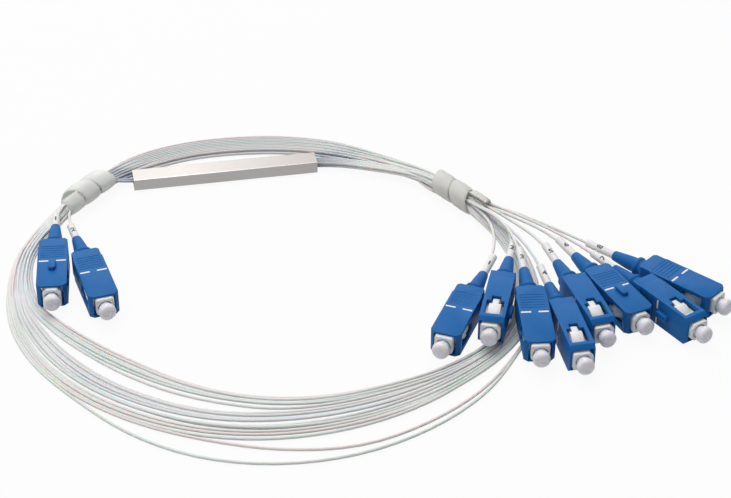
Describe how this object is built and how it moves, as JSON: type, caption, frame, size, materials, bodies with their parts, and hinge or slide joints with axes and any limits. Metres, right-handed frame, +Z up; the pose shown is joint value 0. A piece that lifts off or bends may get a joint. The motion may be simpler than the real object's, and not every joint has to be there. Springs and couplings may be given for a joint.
{
  "type": "plc fibre splitter",
  "caption": "Planar fibre splitter in a flat steel tube, with 0.9 mm pigtails coiled and wrapped, square push-pull connectors, dust caps and numbered label sleeves.",
  "frame": {"origin": "middle of the steel tube's underside", "axes": "+X along the tube towards the eight outputs, +Z up from the flat side it lies on, +Y away from the coil's middle"},
  "size_m": [0.2094, 0.1624, 0.0111],
  "materials": {
    "steel": "fine rolled sheet",
    "silicone": "matt",
    "chip_glass": "polished",
    "fibre": "satin, translucent",
    "wrap": "satin, translucent",
    "grip_blue": "fine satin moulding",
    "frame_white": "satin moulding",
    "ceramic": "polished ceramic",
    "cap_clear": "soft, translucent",
    "boot_blue": "satin",
    "sleeve_white": "matt"
  },
  "bodies": {
    "base": {"module_tube": "steel", "input_seal": "silicone", "output_seal": "silicone", "plc_chip": "chip_glass", "fibre_arrays": "chip_glass", "fibre_coil": "fibre", "left_wrap": "wrap", "right_wrap": "wrap", "boots": "boot_blue", "label_sleeves": "sleeve_white", "plug_frame_in_1": "frame_white", "plug_frame_in_2": "frame_white", "plug_frame_out_1": "frame_white", "plug_frame_out_2": "frame_white", "plug_frame_out_3": "frame_white", "plug_frame_out_4": "frame_white", "plug_frame_out_5": "frame_white", "plug_frame_out_6": "frame_white", "plug_frame_out_7": "frame_white", "plug_frame_out_8": "frame_white", "fibre_in_1": "fibre", "fibre_in_2": "fibre", "fibre_out_1": "fibre", "fibre_out_2": "fibre", "fibre_out_3": "fibre", "fibre_out_4": "fibre", "fibre_out_5": "fibre", "fibre_out_6": "fibre", "fibre_out_7": "fibre", "fibre_out_8": "fibre"},
    "grip_in_1": {"grip_in_1": "grip_blue"},
    "ferrule_in_1": {"ferrule_in_1": "ceramic"},
    "cap_in_1": {"dust_cap_in_1": "cap_clear"},
    "grip_in_2": {"grip_in_2": "grip_blue"},
    "ferrule_in_2": {"ferrule_in_2": "ceramic"},
    "cap_in_2": {"dust_cap_in_2": "cap_clear"},
    "grip_out_1": {"grip_out_1": "grip_blue"},
    "ferrule_out_1": {"ferrule_out_1": "ceramic"},
    "cap_out_1": {"dust_cap_out_1": "cap_clear"},
    "grip_out_2": {"grip_out_2": "grip_blue"},
    "ferrule_out_2": {"ferrule_out_2": "ceramic"},
    "cap_out_2": {"dust_cap_out_2": "cap_clear"},
    "grip_out_3": {"grip_out_3": "grip_blue"},
    "ferrule_out_3": {"ferrule_out_3": "ceramic"},
    "cap_out_3": {"dust_cap_out_3": "cap_clear"},
    "grip_out_4": {"grip_out_4": "grip_blue"},
    "ferrule_out_4": {"ferrule_out_4": "ceramic"},
    "cap_out_4": {"dust_cap_out_4": "cap_clear"},
    "grip_out_5": {"grip_out_5": "grip_blue"},
    "ferrule_out_5": {"ferrule_out_5": "ceramic"},
    "cap_out_5": {"dust_cap_out_5": "cap_clear"},
    "grip_out_6": {"grip_out_6": "grip_blue"},
    "ferrule_out_6": {"ferrule_out_6": "ceramic"},
    "cap_out_6": {"dust_cap_out_6": "cap_clear"},
    "grip_out_7": {"grip_out_7": "grip_blue"},
    "ferrule_out_7": {"ferrule_out_7": "ceramic"},
    "cap_out_7": {"dust_cap_out_7": "cap_clear"},
    "grip_out_8": {"grip_out_8": "grip_blue"},
    "ferrule_out_8": {"ferrule_out_8": "ceramic"},
    "cap_out_8": {"dust_cap_out_8": "cap_clear"}
  },
  "joints": [
    {"name": "grip_in_1_slide", "type": "slide", "parent": "base", "child": "grip_in_1", "axis": [0.0872, 0.9962, 0], "range_m": [0, 0.0012]},
    {"name": "ferrule_in_1_slide", "type": "slide", "parent": "base", "child": "ferrule_in_1", "axis": [0.0872, 0.9962, 0], "range_m": [0, 0.001], "stiffness_N_per_m": 600},
    {"name": "cap_in_1_pull", "type": "slide", "parent": "ferrule_in_1", "child": "cap_in_1", "axis": [-0.0872, -0.9962, 0], "range_m": [0, 0.009]},
    {"name": "grip_in_2_slide", "type": "slide", "parent": "base", "child": "grip_in_2", "axis": [-0.1564, 0.9877, 0], "range_m": [0, 0.0012]},
    {"name": "ferrule_in_2_slide", "type": "slide", "parent": "base", "child": "ferrule_in_2", "axis": [-0.1564, 0.9877, 0], "range_m": [0, 0.001], "stiffness_N_per_m": 600},
    {"name": "cap_in_2_pull", "type": "slide", "parent": "ferrule_in_2", "child": "cap_in_2", "axis": [0.1564, -0.9877, 0], "range_m": [0, 0.009]},
    {"name": "grip_out_1_slide", "type": "slide", "parent": "base", "child": "grip_out_1", "axis": [0.515, 0.8572, 0], "range_m": [0, 0.0012]},
    {"name": "ferrule_out_1_slide", "type": "slide", "parent": "base", "child": "ferrule_out_1", "axis": [0.515, 0.8572, 0], "range_m": [0, 0.001], "stiffness_N_per_m": 600},
    {"name": "cap_out_1_pull", "type": "slide", "parent": "ferrule_out_1", "child": "cap_out_1", "axis": [-0.515, -0.8572, 0], "range_m": [0, 0.009]},
    {"name": "grip_out_2_slide", "type": "slide", "parent": "base", "child": "grip_out_2", "axis": [0.3778, 0.9259, 0], "range_m": [0, 0.0012]},
    {"name": "ferrule_out_2_slide", "type": "slide", "parent": "base", "child": "ferrule_out_2", "axis": [0.3778, 0.9259, 0], "range_m": [0, 0.001], "stiffness_N_per_m": 600},
    {"name": "cap_out_2_pull", "type": "slide", "parent": "ferrule_out_2", "child": "cap_out_2", "axis": [-0.3778, -0.9259, 0], "range_m": [0, 0.009]},
    {"name": "grip_out_3_slide", "type": "slide", "parent": "base", "child": "grip_out_3", "axis": [0.1216, 0.9901, 0.0698], "range_m": [0, 0.0012]},
    {"name": "ferrule_out_3_slide", "type": "slide", "parent": "base", "child": "ferrule_out_3", "axis": [0.1216, 0.9901, 0.0698], "range_m": [0, 0.001], "stiffness_N_per_m": 600},
    {"name": "cap_out_3_pull", "type": "slide", "parent": "ferrule_out_3", "child": "cap_out_3", "axis": [-0.1216, -0.9901, -0.0698], "range_m": [0, 0.009]},
    {"name": "grip_out_4_slide", "type": "slide", "parent": "base", "child": "grip_out_4", "axis": [0, 1, 0], "range_m": [0, 0.0012]},
    {"name": "ferrule_out_4_slide", "type": "slide", "parent": "base", "child": "ferrule_out_4", "axis": [0, 1, 0], "range_m": [0, 0.001], "stiffness_N_per_m": 600},
    {"name": "cap_out_4_pull", "type": "slide", "parent": "ferrule_out_4", "child": "cap_out_4", "axis": [0, -1, 0], "range_m": [0, 0.009]},
    {"name": "grip_out_5_slide", "type": "slide", "parent": "base", "child": "grip_out_5", "axis": [-0.1045, 0.9945, 0], "range_m": [0, 0.0012]},
    {"name": "ferrule_out_5_slide", "type": "slide", "parent": "base", "child": "ferrule_out_5", "axis": [-0.1045, 0.9945, 0], "range_m": [0, 0.001], "stiffness_N_per_m": 600},
    {"name": "cap_out_5_pull", "type": "slide", "parent": "ferrule_out_5", "child": "cap_out_5", "axis": [0.1045, -0.9945, 0], "range_m": [0, 0.009]},
    {"name": "grip_out_6_slide", "type": "slide", "parent": "base", "child": "grip_out_6", "axis": [-0.2588, 0.9659, 0], "range_m": [0, 0.0012]},
    {"name": "ferrule_out_6_slide", "type": "slide", "parent": "base", "child": "ferrule_out_6", "axis": [-0.2588, 0.9659, 0], "range_m": [0, 0.001], "stiffness_N_per_m": 600},
    {"name": "cap_out_6_pull", "type": "slide", "parent": "ferrule_out_6", "child": "cap_out_6", "axis": [0.2588, -0.9659, 0], "range_m": [0, 0.009]},
    {"name": "grip_out_7_slide", "type": "slide", "parent": "base", "child": "grip_out_7", "axis": [-0.3987, 0.9171, 0], "range_m": [0, 0.0012]},
    {"name": "ferrule_out_7_slide", "type": "slide", "parent": "base", "child": "ferrule_out_7", "axis": [-0.3987, 0.9171, 0], "range_m": [0, 0.001], "stiffness_N_per_m": 600},
    {"name": "cap_out_7_pull", "type": "slide", "parent": "ferrule_out_7", "child": "cap_out_7", "axis": [0.3987, -0.9171, 0], "range_m": [0, 0.009]},
    {"name": "grip_out_8_slide", "type": "slide", "parent": "base", "child": "grip_out_8", "axis": [-0.6088, 0.7934, 0], "range_m": [0, 0.0012]},
    {"name": "ferrule_out_8_slide", "type": "slide", "parent": "base", "child": "ferrule_out_8", "axis": [-0.6088, 0.7934, 0], "range_m": [0, 0.001], "stiffness_N_per_m": 600},
    {"name": "cap_out_8_pull", "type": "slide", "parent": "ferrule_out_8", "child": "cap_out_8", "axis": [0.6088, -0.7934, 0], "range_m": [0, 0.009]}
  ]
}
